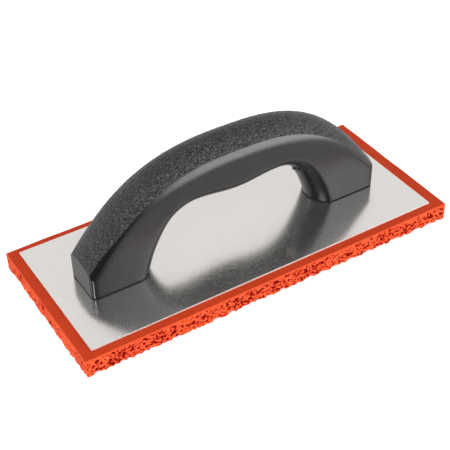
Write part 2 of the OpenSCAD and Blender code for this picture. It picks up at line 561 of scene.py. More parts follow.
@dataclass(frozen=True)
class PlateFinish:
    """Mill-rolled aluminium sheet with a satin shine, rougher edges and a pinkish painted highlight along
    them, tinted by a painted reflection of the red rubber.
    """

    metal: Rgb = (0.72, 0.70, 0.675)
    dull: Rgb = (0.69, 0.67, 0.645)
    # The next colour is a painted highlight along the edges, tinted pink by a painted reflection of the red
    # rubber.
    pink_edge_highlight: Rgb = (0.84, 0.72, 0.67)
    dents: tuple[tuple[float, float, float], ...] = (
        (-11.0 * MM, -8.6 * MM, 2.4 * MM),
        (43.8 * MM, 18.6 * MM, 1.3 * MM),
        (-99.7 * MM, 27.7 * MM, 2.6 * MM),
        (-108.0 * MM, -4.0 * MM, 4.5 * MM),
    )
    dent_slope: float = 0.03
    edge_width: tuple[float, float] = (0.5 * MM, 0.15 * MM)
    roughness: float = 0.19

    def build(self, box: Box) -> bpy.types.Material:
        """Makes the material.

        Args:
            box: The plate's box, from which its edges are told.

        Returns:
            The material.
        """
        sketch = Sketch("plate_metal")
        ends, sides, _ = sketch.axis_distances(box)
        edge = sketch.fade(sketch.math("MINIMUM", ends, sides), *self.edge_width)
        rolled = sketch.noise(2400.0, 2.0, (0.15, 1.0, 1.0))
        speckle = sketch.noise(1200.0, 2.0)
        clouds = sketch.fade(sketch.noise(38.0, 3.0), 0.35, 0.75)
        sheet = sketch.mix(sketch.math("MULTIPLY", clouds, 0.5), self.metal, self.dull)
        # Painted highlight: the edges take the pinkish highlight colour.
        sketch.link(sketch.mix(edge, sheet, self.pink_edge_highlight), "Base Color")
        spread = sketch.math("MULTIPLY", sketch.fade(speckle, 0.45, 0.75), 0.12)
        rough = sketch.math("ADD", self.roughness - 0.04, spread)
        sketch.link(sketch.math("ADD", rough, sketch.math("MULTIPLY", edge, 0.35)), "Roughness")
        grain = sketch.bump(rolled, 0.002 * MM)
        for x, y, radius in self.dents:
            dent = sketch.spot((x, y, box.high.z), radius)
            grain = sketch.bump(dent, -self.dent_slope * radius, 1.0, grain)
        sketch.link(sketch.bump(speckle, 0.015 * MM, 1.0, grain), "Normal")
        sketch.set(Metallic=0.95)
        return sketch.material


@dataclass(frozen=True)
class PlasticFinish:
    """Smooth satin black plastic, as it leaves a polished mould."""

    body: Rgb = (0.0048, 0.0048, 0.0058)
    worn: Rgb = (0.0080, 0.0080, 0.0090)
    roughness: float = 0.27

    def build(self) -> bpy.types.Material:
        """Makes the material.

        Returns:
            The material.
        """
        sketch = Sketch("handle_plastic")
        patches = sketch.fade(sketch.noise(55.0, 3.0), 0.4, 0.75)
        sketch.link(sketch.mix(patches, self.body, self.worn), "Base Color")
        haze = sketch.math("MULTIPLY", sketch.noise(240.0, 3.0), 0.09)
        sketch.link(sketch.math("ADD", self.roughness - 0.04, haze), "Roughness")
        sketch.link(sketch.bump(sketch.noise(1500.0, 2.0), 0.004 * MM), "Normal")
        sketch.set(Specular_IOR_Level=0.55)
        return sketch.material


@dataclass(frozen=True)
class GrainFinish:
    """Black plastic with the coarse stipple of a textured mould, its sparkle painted in part as lighter
    specks.
    """

    body: Rgb = (0.002, 0.002, 0.0023)
    # crest is the colour of painted glints on the stipple.
    glint_speck: Rgb = (0.038, 0.038, 0.042)
    roughness: float = 0.22

    def build(self) -> bpy.types.Material:
        """Makes the material.

        Returns:
            The material.
        """
        sketch = Sketch("grip_grain")
        stipple = sketch.noise(980.0, 1.0)
        grit = sketch.cells(1300.0)
        # Painted glints: lighter specks of colour stand in for the stipple's sparkle.
        painted_glints = sketch.fade(sketch.noise(1050.0, 1.0), 0.50, 0.64)
        sketch.link(sketch.mix(painted_glints, self.body, self.glint_speck), "Base Color")
        sketch.link(sketch.math("ADD", self.roughness, sketch.math("MULTIPLY", grit, 0.2)), "Roughness")
        coarse = sketch.bump(stipple, 0.9 * MM)
        sketch.link(sketch.bump(grit, 0.30 * MM, 0.8, coarse), "Normal")
        sketch.set(Specular_IOR_Level=0.5)
        return sketch.material


@dataclass(frozen=True)
class GlueFinish:
    """Dried contact glue, dull, with lighter patches of dust."""

    body: Rgb = (0.075, 0.022, 0.012)
    dust: Rgb = (0.16, 0.07, 0.045)

    def build(self) -> bpy.types.Material:
        """Makes the material.

        Returns:
            The material.
        """
        sketch = Sketch("contact_glue")
        dust = sketch.fade(sketch.noise(700.0, 3.0), 0.45, 0.7)
        sketch.link(sketch.mix(dust, self.body, self.dust), "Base Color")
        sketch.link(sketch.bump(sketch.noise(1400.0, 2.0), 0.05 * MM), "Normal")
        sketch.set(Roughness=0.55)
        return sketch.material


@dataclass(frozen=True)
class ZincFinish:
    """Zinc-plated steel of the screws."""

    plating: Rgb = (0.58, 0.58, 0.56)
    tarnish: Rgb = (0.40, 0.39, 0.36)

    def build(self) -> bpy.types.Material:
        """Makes the material.

        Returns:
            The material.
        """
        sketch = Sketch("screw_steel")
        tarnish = sketch.fade(sketch.noise(500.0, 3.0), 0.4, 0.7)
        sketch.link(sketch.mix(tarnish, self.plating, self.tarnish), "Base Color")
        sketch.link(sketch.math("ADD", 0.25, sketch.math("MULTIPLY", tarnish, 0.2)), "Roughness")
        sketch.set(Metallic=1.0)
        return sketch.material


def dress(piece: bpy.types.Object, material: bpy.types.Material) -> None:
    """Gives a piece one material all over.

    Args:
        piece: The mesh object.
        material: The material.
    """
    if piece.data.materials:
        for number in range(len(piece.data.materials)):
            piece.material_slots[number].material = material
    else:
        piece.data.materials.append(material)


# ---------------------------------------------------------------------------------------------
# The pad
# ---------------------------------------------------------------------------------------------


@dataclass
class CutEdge:
    """The slow waver of a hand-fed cut, the same for every layer of the sheet."""

    depth: float = 0.3 * MM
    seed: int = 11
    waves: int = 7
    _table: np.ndarray = field(init=False, repr=False)

    def __post_init__(self) -> None:
        """Draws the waves of the four sides."""
        draw = np.random.default_rng(self.seed)
        lengths = draw.uniform(14, 90, (4, self.waves)) * MM
        phases = draw.uniform(0, 2 * math.pi, (4, self.waves))
        self._table = np.stack([2 * math.pi / lengths, phases], axis=-1)

    def inset(self, side: int, along: np.ndarray) -> np.ndarray:
        """How far the cut lies inside the straight edge.

        Args:
            side: Which of the four sides.
            along: Places along the side, in metres.

        Returns:
            The inset at each place, never below 0.
        """
        rates, phases = self._table[side].T
        wave = np.sin(along[..., None] * rates + phases).mean(axis=-1)
        return self.depth * (0.5 + np.clip(wave, -0.5, 0.5))


@dataclass
class Wall:
    """One flat face of the sponge, as a grid of mesh points that pits are pressed into."""

    normal: Vector
    across: int
    up: int
    grid: np.ndarray
    rows: np.ndarray
    columns: np.ndarray

    @classmethod
    def find(cls, points: np.ndarray, box: Box, axis: int, sign: int) -> "Wall":
        """Finds the grid of points on one face of the box.

        Args:
            points: The sponge's points, before any pit.
            box: The sponge's box.
            axis: The axis that the face looks along: 0, 1 or 2.
            sign: 1 where it looks along +axis, -1 where it looks back.

        Returns:
            The wall.
        """
        across, up = FACE_AXES[axis]
        members = np.flatnonzero(np.abs(points[:, axis] - box.face(axis, sign)) < TOUCH)
        columns = np.unique(points[members, across].round(6))
        rows = np.unique(points[members, up].round(6))
        order = np.lexsort((points[members, across].round(6), points[members, up].round(6)))
        normal = Vector((0, 0, 0))
        normal[axis] = sign
        grid = members[order].reshape(len(rows), len(columns))
        return cls(normal, across, up, grid, rows, columns)


@dataclass(frozen=True)
class CellSize:
    """One size class of the sponge's cells, laid out on a jittered lattice."""

    pitch: float
    least: float
    most: float
    share: float


@dataclass
class RubberPad:
    """The working pad: open-cell sponge below, closed rubber skin above."""

    wall_pitch: float = 0.27 * MM
    seed: int = 5
    cut: CutEdge = field(default_factory=CutEdge)
    cells: tuple[CellSize, ...] = (
        CellSize(1.50 * MM, 0.38 * MM, 0.62 * MM, 1.0),
        CellSize(2.8 * MM, 0.62 * MM, 0.98 * MM, 0.7),
        CellSize(7.0 * MM, 0.95 * MM, 1.40 * MM, 0.55),
    )
    end_share: float = 0.6
    jitter: float = 0.42
    longest: tuple[float, float] = (1.45, 1.3)
    slant: float = 0.35
    bite_pitch: float = 3.2 * MM
    bite_reach: tuple[float, float] = (0.5 * MM, 1.9 * MM)
    deepest_cell: float = 2.2 * MM
    steepness: float = 1.9
    torn_skin: float = 0.05 * MM
    whole_rim: float = 0.25 * MM
    most_triangles: int = 400_000
    edge_radius: float = 0.4 * MM
    pocket_radius: float = 5 * MM
    pocket_depth: float = 3 * MM
    skin_grid: tuple[int, int] = (160, 68)

    def build(self, screw_places: list[Vector]) -> list[bpy.types.Object]:
        """Models and dresses the pad.

        Args:
            screw_places: The middle of each screw.

        Returns:
            The sponge and the skin.
        """
        return [self.build_sponge(), self.build_skin(screw_places)]

    def build_sponge(self) -> bpy.types.Object:
        """Makes the sponge block, presses its cells in and thins what stayed flat.

        Returns:
            The sponge.
        """
        box = Box.of(Node.SPONGE)
        piece = self.block(box)
        points = read_points(piece)
        moved = points.copy()
        draw = np.random.default_rng(self.seed)
        for axis, sign in CUT_FACES:
            wall = Wall.find(points, box, axis, sign)
            depth = self.press(wall, draw, axis, sign)
            moved[wall.grid] -= depth[..., None] * np.array(wall.normal)
        write_points(piece, moved + self.bites(points, box, draw))
        self.thin(piece, box)
        smooth(piece, 60)
        dress(piece, SpongeFinish().build(box))
        hand_over(piece, "sponge_rubber", Node.SPONGE)
        return piece

    def thin(self, piece: bpy.types.Object, box: Box) -> None:
        """Thins the mesh where it says little, first of all on the working face.

        Args:
            piece: The sponge.
            box: Its box, which no point may leave.
        """
        triangles = sum(len(face.vertices) - 2 for face in piece.data.polygons)
        rank = piece.vertex_groups.new(name="working_face")
        points = read_points(piece)
        low, high = np.array(box.low), np.array(box.high)
        margin = self.deepest_cell
        inner = np.all((points[:, :2] > low[:2] + margin) & (points[:, :2] < high[:2] - margin), axis=1)
        rank.add(np.flatnonzero(inner).tolist(), 1.0, "REPLACE")
        apply_modifier(
            piece, "DECIMATE", ratio=min(1.0, self.most_triangles / triangles),
            vertex_group=rank.name, vertex_group_factor=4.0,
        )
        write_points(piece, np.clip(read_points(piece), low, high))

    def block(self, box: Box) -> bpy.types.Object:
        """Builds the sponge's block from five gridded walls and a plain lid.

        Args:
            box: The block's box.

        Returns:
            The block.
        """
        counts = [max(2, round(box.size[axis] / self.wall_pitch)) for axis in range(3)]
        walls = []
        for axis, sign in CUT_FACES:
            across, up = FACE_AXES[axis]
            deselect_all()
            bpy.ops.mesh.primitive_grid_add(
                x_subdivisions=counts[across], y_subdivisions=counts[up], size=1.0
            )
            wall = bpy.context.object
            middle = box.centre.copy()
            middle[axis] = box.face(axis, sign)
            frame = Matrix.Identity(4)
            for row in range(3):
                frame[row][0] = box.size[across] if row == across else 0.0
                frame[row][1] = box.size[up] if row == up else 0.0
                frame[row][2] = 1.0 if row == axis else 0.0
                frame[row][3] = middle[row]
            wall.data.transform(frame)
            walls.append(wall)
        deselect_all()
        for wall in walls:
            wall.select_set(True)
        bpy.context.view_layer.objects.active = walls[0]
        bpy.ops.object.join()
        piece = walls[0]
        piece.name = "sponge_block"
        bpy.ops.object.mode_set(mode="EDIT")
        bpy.ops.mesh.select_all(action="SELECT")
        bpy.ops.mesh.remove_doubles(threshold=0.02 * MM)
        select_edges(piece, lambda edge: edge.is_boundary)
        bpy.ops.mesh.edge_face_add()
        bpy.ops.mesh.select_all(action="SELECT")
        bpy.ops.mesh.normals_make_consistent(inside=False)
        bpy.ops.object.mode_set(mode="OBJECT")
        return piece

    def press(self, wall: Wall, draw: np.random.Generator, axis: int, sign: int) -> np.ndarray:
        """Works out how deep each point of a wall lies once its cells are cut open.

        Args:
            wall: The wall.
            draw: The random source.
            axis: The axis that the wall looks along.
            sign: Which way it looks.

        Returns:
            The depth at each point of the wall's grid.
        """
        rows, columns = wall.rows, wall.columns
        depth = np.zeros(wall.grid.shape)
        upright = axis != 2
        for size in self.cells:
            across = np.arange(columns[0], columns[-1], size.pitch)
            up = np.arange(rows[0], rows[-1] + size.pitch / 2, size.pitch)
            middle_u, middle_v = (m.ravel() for m in np.meshgrid(across, up))
            count = len(middle_u)
            middle_u = middle_u + draw.uniform(-self.jitter, self.jitter, count) * size.pitch
            middle_v = middle_v + draw.uniform(-self.jitter, self.jitter, count) * size.pitch
            radius = size.least + (size.most - size.least) * draw.random(count) ** 1.6
            long_side = draw.uniform(1.0, self.longest[0 if upright else 1], count)
            tilt = draw.normal(0, self.slant, count) if upright else draw.uniform(0, math.pi, count)
            kept = draw.random(count) < size.share * (self.end_share if (axis, sign) == (0, -1) else 1.0)
            if upright:
                kept &= middle_v < rows[-1] - 0.4 * radius
            for u, v, r, stretch, turn in zip(
                middle_u[kept], middle_v[kept], radius[kept], long_side[kept], tilt[kept]
            ):
                self.dent(depth, rows, columns, (u, v), (r * stretch, r / math.sqrt(stretch)), turn)
        depth += draw.uniform(0, self.torn_skin, depth.shape)
        if upright:
            base = self.cut.inset(SIDES.index((axis, sign)), columns)[None, :]
            depth += base
            fade = np.clip((rows[-1] - rows) / self.whole_rim, 0, 1)[:, None]
            depth = base + (depth - base) * fade
        return depth

    def bites(self, points: np.ndarray, box: Box, draw: np.random.Generator) -> np.ndarray:
        """Tears round bites out of the four lower edges.

        Args:
            points: The sponge's points, before any cell.
            box: The sponge's box.
            draw: The random source.

        Returns:
            How far each point moves.
        """
        shift = np.zeros_like(points)
        height = points[:, 2] - box.low.z
        for axis, sign in SIDES:
            depth = np.abs(points[:, axis] - box.face(axis, sign))
            surface = np.minimum(depth, height) < TOUCH
            members = np.flatnonzero(surface & (np.maximum(depth, height) < self.bite_reach[1]))
            way = np.maximum(depth, height)[members]
            side = np.where(depth[members] < height[members], 1.0, -1.0)
            along = points[members, 1 - axis]
            widest = np.zeros(len(members))
            start, stop = box.low[1 - axis], box.high[1 - axis]
            for middle in np.arange(start + self.bite_pitch, stop - self.bite_pitch, self.bite_pitch):
                middle += draw.uniform(-0.5, 0.5) * self.bite_pitch
                reach = draw.uniform(*self.bite_reach)
                width = reach * draw.uniform(1.0, 1.8)
                radius = reach * np.sqrt(np.clip(1 - ((along - middle) / width) ** 2, 0, None))
                widest = np.maximum(widest, radius)
            torn = way < widest
            turn = math.pi / 4 * (1 + side[torn] * way[torn] / widest[torn])
            rows = members[torn]
            shift[rows, axis] -= sign * (widest[torn] * np.cos(turn) - depth[rows])
            shift[rows, 2] += widest[torn] * np.sin(turn) - height[rows]
        return shift

    def dent(
        self,
        depth: np.ndarray,
        rows: np.ndarray,
        columns: np.ndarray,
        middle: tuple[float, float],
        radii: tuple[float, float],
        turn: float,
    ) -> None:
        """Cuts one oval hollow into a wall's depths.

        Args:
            depth: The wall's depths, which change.
            rows: The heights of the grid's rows.
            columns: The places of the grid's columns.
            middle: The hollow's middle.
            radii: Its half length and half width.
            turn: Its turn from the wall's long direction, in radians.
        """
        reach = max(radii)
        u0, u1 = np.searchsorted(columns, (middle[0] - reach, middle[0] + reach))
        v0, v1 = np.searchsorted(rows, (middle[1] - reach, middle[1] + reach))
        if u0 == u1 or v0 == v1:
            return
        u = columns[None, u0:u1] - middle[0]
        v = rows[v0:v1, None] - middle[1]
        along = (u * math.cos(turn) + v * math.sin(turn)) / radii[0]
        aside = (v * math.cos(turn) - u * math.sin(turn)) / radii[1]
        inside = np.clip(1 - along**2 - aside**2, 0, None)
        hollow = self.steepness * radii[1] * np.sqrt(inside)
        window = depth[v0:v1, u0:u1]
        np.maximum(window, hollow, out=window)

    def build_skin(self, screw_places: list[Vector]) -> bpy.types.Object:
        """Makes the closed skin, with the pockets that clear the screw heads.

        Args:
            screw_places: The middle of each screw.

        Returns:
            The skin.
        """
        box = Box.of(Node.SKIN)
        deselect_all()
        columns, rows = self.skin_grid
        bpy.ops.mesh.primitive_grid_add(x_subdivisions=columns, y_subdivisions=rows, size=1.0)
        piece = bpy.context.object
        piece.name = "rubber_skin"
        piece.scale = (box.size.x, box.size.y, 1)
        piece.location = (box.centre.x, box.centre.y, box.low.z)
        settle(piece)
        bpy.ops.object.mode_set(mode="EDIT")
        bpy.ops.mesh.select_all(action="SELECT")
        bpy.ops.mesh.extrude_region_move(TRANSFORM_OT_translate={"value": (0, 0, box.size.z)})
        bpy.ops.mesh.select_all(action="SELECT")
        bpy.ops.mesh.normals_make_consistent(inside=False)
        bpy.ops.object.mode_set(mode="OBJECT")
        points = read_points(piece)
        for side, (axis, sign) in enumerate(SIDES):
            on_side = np.abs(points[:, axis] - box.face(axis, sign)) < TOUCH
            along = points[on_side, 1 - axis]
            points[on_side, axis] -= sign * self.cut.inset(side, along)
        write_points(piece, points)
        round_edges(piece, self.edge_radius)
        centres = [Vector((place.x, place.y, box.centre.z)) for place in screw_places]
        carve(piece, centres, self.pocket_radius, self.pocket_depth)
        smooth(piece, 40)
        true_flats(piece)
        dress(piece, SkinFinish().build(box))
        return hand_over(piece, "smooth_rubber", Node.SKIN)


# ---------------------------------------------------------------------------------------------
# The backing plate
# ---------------------------------------------------------------------------------------------


@dataclass
class BackingPlate:
    """The aluminium plate, cut by shears, with the film of glue that holds it to the pad."""

    corner_radius: float = 0.6 * MM
    edge_radius: float = 0.16 * MM
    hole_radius: float = 2.25 * MM
    drill_length: float = 4 * MM

    def build(self, screw_places: list[Vector]) -> list[bpy.types.Object]:
        """Models and dresses the plate and dresses the glue.

        Args:
            screw_places: The middle of each screw.

        Returns:
            The plate.
        """
        box = Box.of(Node.PLATE)
        deselect_all()
        bpy.ops.mesh.primitive_cube_add(size=1.0, location=box.centre, scale=box.size)
        piece = bpy.context.object
        piece.name = "aluminium_plate"
        settle(piece)
        bpy.ops.object.mode_set(mode="EDIT")
        select_edges(piece, lambda edge: abs(edge.verts[0].co.z - edge.verts[1].co.z) > 0.5 * MM)
        bpy.ops.mesh.bevel(offset=self.corner_radius, segments=6)
        bpy.ops.object.mode_set(mode="OBJECT")
        centres = [Vector((place.x, place.y, box.centre.z)) for place in screw_places]
        carve(piece, centres, self.hole_radius, self.drill_length)
        round_edges(piece, self.edge_radius)
        smooth(piece, 40)
        true_flats(piece)
        dress(piece, PlateFinish().build(box))
        dress(bpy.data.objects[Node.GLUE.value], GlueFinish().build())
        return [hand_over(piece, "plate_metal", Node.PLATE)]


# ---------------------------------------------------------------------------------------------
# The handle
# ---------------------------------------------------------------------------------------------


@dataclass
class ArchLines:
    """The lines that run along the handle, each as a function of the way along its inner line.

    All sizes are in millimetres. The lines are told for the half of the handle on +X, and the
    other half mirrors them.
    """

    plate_top: float
    grip_top: float
    half_length: float
    half_width: float
    half_level: float = 27.0
    shoulder_radius: float = 28.5
    shoulder_angle: float = math.radians(55)
    leg_radius: float = 85.0
    grip_depth: float = 26.2
    half_swell: float = 26.0
    swell_depth: float = 2.4
    underside_bulge: float = 8.8
    foot_run: float = 8.0
    sweep_rate: float = math.radians(0.6)
    crown_power: float = 2.8
    end_face_height: float = 18.3
    corner_inset: float = 2.7
    crown_rise: float = 13.6
    side_power: float = 2.55
    side_sweep_power: float = 1.1
    side_end_height: float = 12.6

    def __post_init__(self) -> None:
        """Works out where the arcs meet."""
        self.inner_top = self.grip_top - self.grip_depth
        self.leg_x = self.half_level + self.shoulder_radius * math.sin(self.shoulder_angle)
        self.leg_z = self.inner_top - self.shoulder_radius * (1 - math.cos(self.shoulder_angle))
        drop = (self.leg_z - self.plate_top) / self.leg_radius
        self.leg_end = math.acos(math.cos(self.shoulder_angle) - drop)
        self.shoulder_run = self.half_level + self.shoulder_radius * self.shoulder_angle
        self.inner_run = self.shoulder_run + self.leg_radius * (self.leg_end - self.shoulder_angle)
        self.face_run = self.inner_run - self.foot_run

    def sweep(self, run: float) -> float:
        """How far a station is from the middle, at 0, to the end face, at 1."""
        return min(1.0, math.sin(self.sweep_rate * run) / math.sin(self.sweep_rate * self.face_run))

    def down(self, run: float) -> float:
        """How far a station is down the end face, from 0 at its top to 1 at the plate."""
        return max(0.0, (run - self.face_run) / self.foot_run)

    def lean(self, run: float) -> float:
        """How far the inner line has turned from level.

        Args:
            run: The way along the inner line.

        Returns:
            The turn in radians.
        """
        if run < self.half_level:
            return 0.0
        if run < self.shoulder_run:
            return (run - self.half_level) / self.shoulder_radius
        return self.shoulder_angle + (run - self.shoulder_run) / self.leg_radius

    def inner(self, run: float) -> np.ndarray:
        """Places the edge between a flat side and the rounded underside.

        Args:
            run: The way along the inner line.

        Returns:
            The point as [x, z].
        """
        turn = self.lean(run)
        if run < self.half_level:
            x, z = run, self.inner_top
        elif run < self.shoulder_run:
            x = self.half_level + self.shoulder_radius * math.sin(turn)
            z = self.inner_top - self.shoulder_radius * (1 - math.cos(turn))
        else:
            x = self.leg_x + self.leg_radius * (math.sin(turn) - math.sin(self.shoulder_angle))
            z = self.leg_z - self.leg_radius * (math.cos(self.shoulder_angle) - math.cos(turn))
        swell = 0.0
        if x < self.half_swell:
            swell = self.swell_depth / 2 * (1 + math.cos(math.pi * x / self.half_swell))
        return np.array([x, z - swell])

    def crown(self, run: float) -> np.ndarray:
        """Places the middle line of the crown.

        Args:
            run: The way along the inner line.

        Returns:
            The point as [x, z].
        """
        part = self.sweep(run)
        drop = (self.grip_top - self.plate_top - self.end_face_height) * part**self.crown_power
        z = self.grip_top - drop - self.end_face_height * self.down(run)
        return np.array([self.half_length * part, z])

    def side(self, run: float) -> np.ndarray:
        """Places the upper line of a flat side.

        Args:
            run: The way along the inner line.

        Returns:
            The point as [x, z].
        """
        part = self.sweep(run) ** self.side_sweep_power
        start = self.grip_top - self.crown_rise
        end = self.plate_top + self.side_end_height
        z = start - (start - end) * part**self.side_power - self.side_end_height * self.down(run)
        return np.array([(self.half_length - self.corner_inset) * part, z])


@dataclass
class ArchedHandle:
    """The two-footed grip: a smooth core and a grained cover over the top of it."""

    crown_start: tuple[float, float] = (math.radians(14), math.radians(8))
    cover_start: tuple[float, float] = (math.radians(35), math.radians(24))
    fullness: tuple[float, float] = (1.0, 0.72)
    leg_part: tuple[float, float] = (0.30, 0.85)
    foot_part: tuple[float, float] = (0.80, 1.0)
    end_arch_power: float = 0.75
    band_steps: int = 4
    cover_steps: int = 22
    side_steps: int = 3
    underside_steps: int = 12
    arch_steps: int = 66
    lip: float = 0.5
    cover_depth: float = 1.8
    foot_step: float = 0.8
    foot_inset: float = 2.4
    edge_round: float = 0.7
    bore_radius: float = 2.1 * MM
    bore_depth: float = 17 * MM
    grain_height: float = 0.50 * MM
    grain_size: float = 1.15 * MM
    flash_run: float = 53.8
    flash_from: float = -11.5
    flash_to: float = -2.0
    flash_height: tuple[float, float] = (0.2, 1.7)
    flash_thickness: float = 0.40 * MM
    flash_steps: int = 16
    flash_seed: int = 3
    lines: ArchLines = field(init=False)
    middle_x: float = field(init=False)

    def __post_init__(self) -> None:
        """Reads the handle's sizes from the CAD nodes."""
        core, cover = Box.of(Node.CORE), Box.of(Node.COVER)
        self.middle_x = core.centre.x / MM
        self.lines = ArchLines(
            plate_top=core.low.z / MM,
            grip_top=cover.high.z / MM,
            half_length=core.size.x / 2 / MM,
            half_width=core.size.y / 2 / MM,
        )

    def build(self, screw_places: list[Vector]) -> list[bpy.types.Object]:
        """Models and dresses the handle.

        Args:
            screw_places: The middle of each screw.

        Returns:
            The core, the cover and the flash.
        """
        return [self.build_core(screw_places), self.build_cover(), self.build_flash()]

    # The stations ----------------------------------------------------------------------------

    def cover_runs(self) -> list[float]:
        """The stations of the grained cover, from the left end to the right."""
        half = list(np.linspace(0, self.lines.face_run - self.lip, self.arch_steps + 1))
        return [-run for run in half[:0:-1]] + half

    def foot_runs(self) -> list[float]:
        """Lists the stations from the cover's end down to the plate, on the +X half.

        Returns:
            The ways along the inner line.
        """
        lines = self.lines
        top = [lines.face_run + offset for offset in (0.06 - self.lip, -0.2, 0.0, 0.2)]
        leg = list(np.linspace(lines.face_run + 0.9, lines.inner_run - 1.0, 5))
        step = self.step_run()
        return top + leg + [step - 0.1, step, step + 0.02, lines.inner_run]

    def step_run(self) -> float:
        """The station of the small step just above the plate."""
        return self.lines.inner_run - self.foot_step / math.sin(self.lines.leg_end)

    # The outline at a station ----------------------------------------------------------------

    def crown_points(self, run: float, sunk: float) -> np.ndarray:
        """The outline's upper points at a station, from the +Y side line over to the -Y one.

        Args:
            run: The way along the inner line, negative on the -X half.
            sunk: How far the points under the cover lie below the surface.

        Returns:
            The points in millimetres.
        """
        lines, way = self.lines, abs(run)
        side, crown, inner = lines.side(way), lines.crown(way), lines.inner(way)
        half, inset = lines.half_width, lines.corner_inset
        leg = smoothstep(lines.sweep(way), *self.leg_part)
        changing = (self.crown_start, self.cover_start, self.fullness)
        crown_start, cover_start, power = (top + (end - top) * leg for top, end in changing)
        wide = half / math.cos(crown_start)
        foot = smoothstep(lines.sweep(way), *self.foot_part)
        back = (inner - crown) / np.linalg.norm(crown - inner) * sunk
        face_top = crown[1] + lines.end_face_height * lines.down(way)
        angles = np.concatenate([
            np.linspace(crown_start, cover_start, self.band_steps, endpoint=False),
            np.linspace(cover_start, math.pi - cover_start, self.cover_steps + 1),
            np.linspace(math.pi - cover_start, math.pi - crown_start, self.band_steps + 1)[1:],
        ])
        points = []
        for number, angle in enumerate(angles):
            rise = (math.sin(angle) - math.sin(crown_start)) / (1 - math.sin(crown_start))
            rise = max(0.0, rise) ** power
            grip = np.array([
                side[0] + (crown[0] - side[0]) * rise,
                wide * math.cos(angle),
                side[1] + (crown[1] - side[1]) * rise,
            ])
            edge = min(number, len(angles) - 1 - number) / self.band_steps
            hand = 1 if angle < math.pi / 2 else -1
            if edge < 1:
                turn = edge * math.pi / 2
                x = side[0] + inset * math.sin(turn)
                y = hand * (half - inset * (1 - math.cos(turn)))
            else:
                share = math.cos(angle) / math.cos(cover_start)
                x, y = crown[0], (half - inset) * share
            arch = (1 - (y / half) ** 2) ** self.end_arch_power
            side_top = side[1] + lines.side_end_height * lines.down(way)
            top = side_top + (face_top - side_top) * arch
            plate = lines.plate_top
            upright = np.array([x, y, top + (plate - top) * lines.down(way)])
            point = grip + (upright - grip) * foot
            if self.band_steps < number < len(angles) - 1 - self.band_steps:
                point = point + np.array([back[0], 0, back[1]])
            points.append(point)
        return self.placed(run, np.array(points))

    def lower_points(self, run: float) -> np.ndarray:
        """The outline's lower points at a station, down the -Y side, under and up the +Y side.

        Args:
            run: The way along the inner line, negative on the -X half.

        Returns:
            The points in millimetres.
        """
        lines, way = self.lines, abs(run)
        side, inner = lines.side(way), lines.inner(way)
        half, bulge = lines.half_width, lines.underside_bulge
        length = np.linalg.norm(side - inner)
        shares = np.linspace(0, 1 - self.edge_round / length, self.side_steps + 1)[1:]
        flat = [side + (inner - side) * share for share in shares]
        radius = (half**2 + bulge**2) / (2 * bulge)
        reach = math.asin(half / radius)
        turns = np.linspace(-reach, reach, self.underside_steps + 1)
        turns[0] += self.edge_round / radius
        turns[-1] -= self.edge_round / radius
        under = [self.underside(way, radius * math.sin(turn)) for turn in turns]
        down = [[x, -half, z] for x, z in flat]
        up = [[x, half, z] for x, z in reversed(flat)]
        return self.placed(run, np.array(down + under + up))

    def underside(self, run: float, y: float, proud: float = 0.0) -> np.ndarray:
        """A point of the rounded underside on the +X half.

        Args:
            run: The way along the inner line.
            y: The place across the handle.
            proud: How far the point stands off the surface.

        Returns:
            The point in millimetres.
        """
        lines = self.lines
        half, bulge = lines.half_width, lines.underside_bulge
        inner = lines.inner(run)
        lean = lines.lean(run) * (math.pi / 2) / lines.leg_end
        radius = (half**2 + bulge**2) / (2 * bulge)
        depth = math.sqrt(max(0.0, radius**2 - y**2)) - (radius - bulge) + proud
        return np.array([inner[0] - depth * math.sin(lean), y, inner[1] - depth * math.cos(lean)])

    def placed(self, run: float, points: np.ndarray) -> np.ndarray:
        """Mirrors points onto the half that a signed run names and puts them in place.

        Args:
            run: The way along the inner line, negative on the -X half.
            points: The points on the +X half.

        Returns:
            The points in place.
        """
        placed = points.copy()
        if run < 0:
            placed[:, 0] *= -1
        placed[:, 0] += self.middle_x
        return placed

    def core_ring(self, run: float, covered: bool) -> np.ndarray:
        """The core's closed outline at a station, in metres.

        Args:
            run: The way along the inner line.
            covered: True under the grained cover.

        Returns:
            The outline.
        """
        sunk = self.cover_depth if covered else 0.0
        ring = np.concatenate([self.crown_points(run, sunk), self.lower_points(run)])
        if abs(run) >= self.step_run():
            ring[:, 2] = self.lines.plate_top + self.foot_step
        if abs(run) > self.step_run():
            spread = ring - [ring[:, 0].mean(), 0.0, ring[0, 2]]
            reach = np.linalg.norm(spread, axis=1, keepdims=True)
            ring = ring - spread / reach * self.foot_inset
        if abs(run) == self.lines.inner_run:
            ring[:, 2] = self.lines.plate_top
        return ring * MM

    def cover_ring(self, run: float) -> np.ndarray:
        """The cover's closed outline at a station, in metres.

        Args:
            run: The way along the inner line, negative on the -X half.

        Returns:
            The outline, outer face first.
        """
        first, last = self.band_steps, self.band_steps + self.cover_steps
        outer = self.crown_points(run, 0.0)[first : last + 1]
        inner = self.crown_points(run, self.cover_depth)[first + 1 : last]
        return np.concatenate([outer, inner[::-1]]) * MM

    # The pieces ------------------------------------------------------------------------------

    def build_core(self, screw_places: list[Vector]) -> bpy.types.Object:
        """Lofts the smooth core, keeps its edges crisp and drills its four pilot holes.

        Args:
            screw_places: The middle of each screw.

        Returns:
            The core.
        """
        feet = self.foot_runs()
        covered = self.cover_runs()
        runs = [-run for run in reversed(feet)] + covered + feet
        outline = Loft("handle_body", [self.core_ring(run, run in covered) for run in runs])
        piece = outline.build()
        ring, place = outline.indices(piece)
        first, last = self.band_steps, self.band_steps + self.cover_steps
        seam_low, seam_high = len(feet) - 1, len(feet) + len(covered)
        final = len(runs) - 1

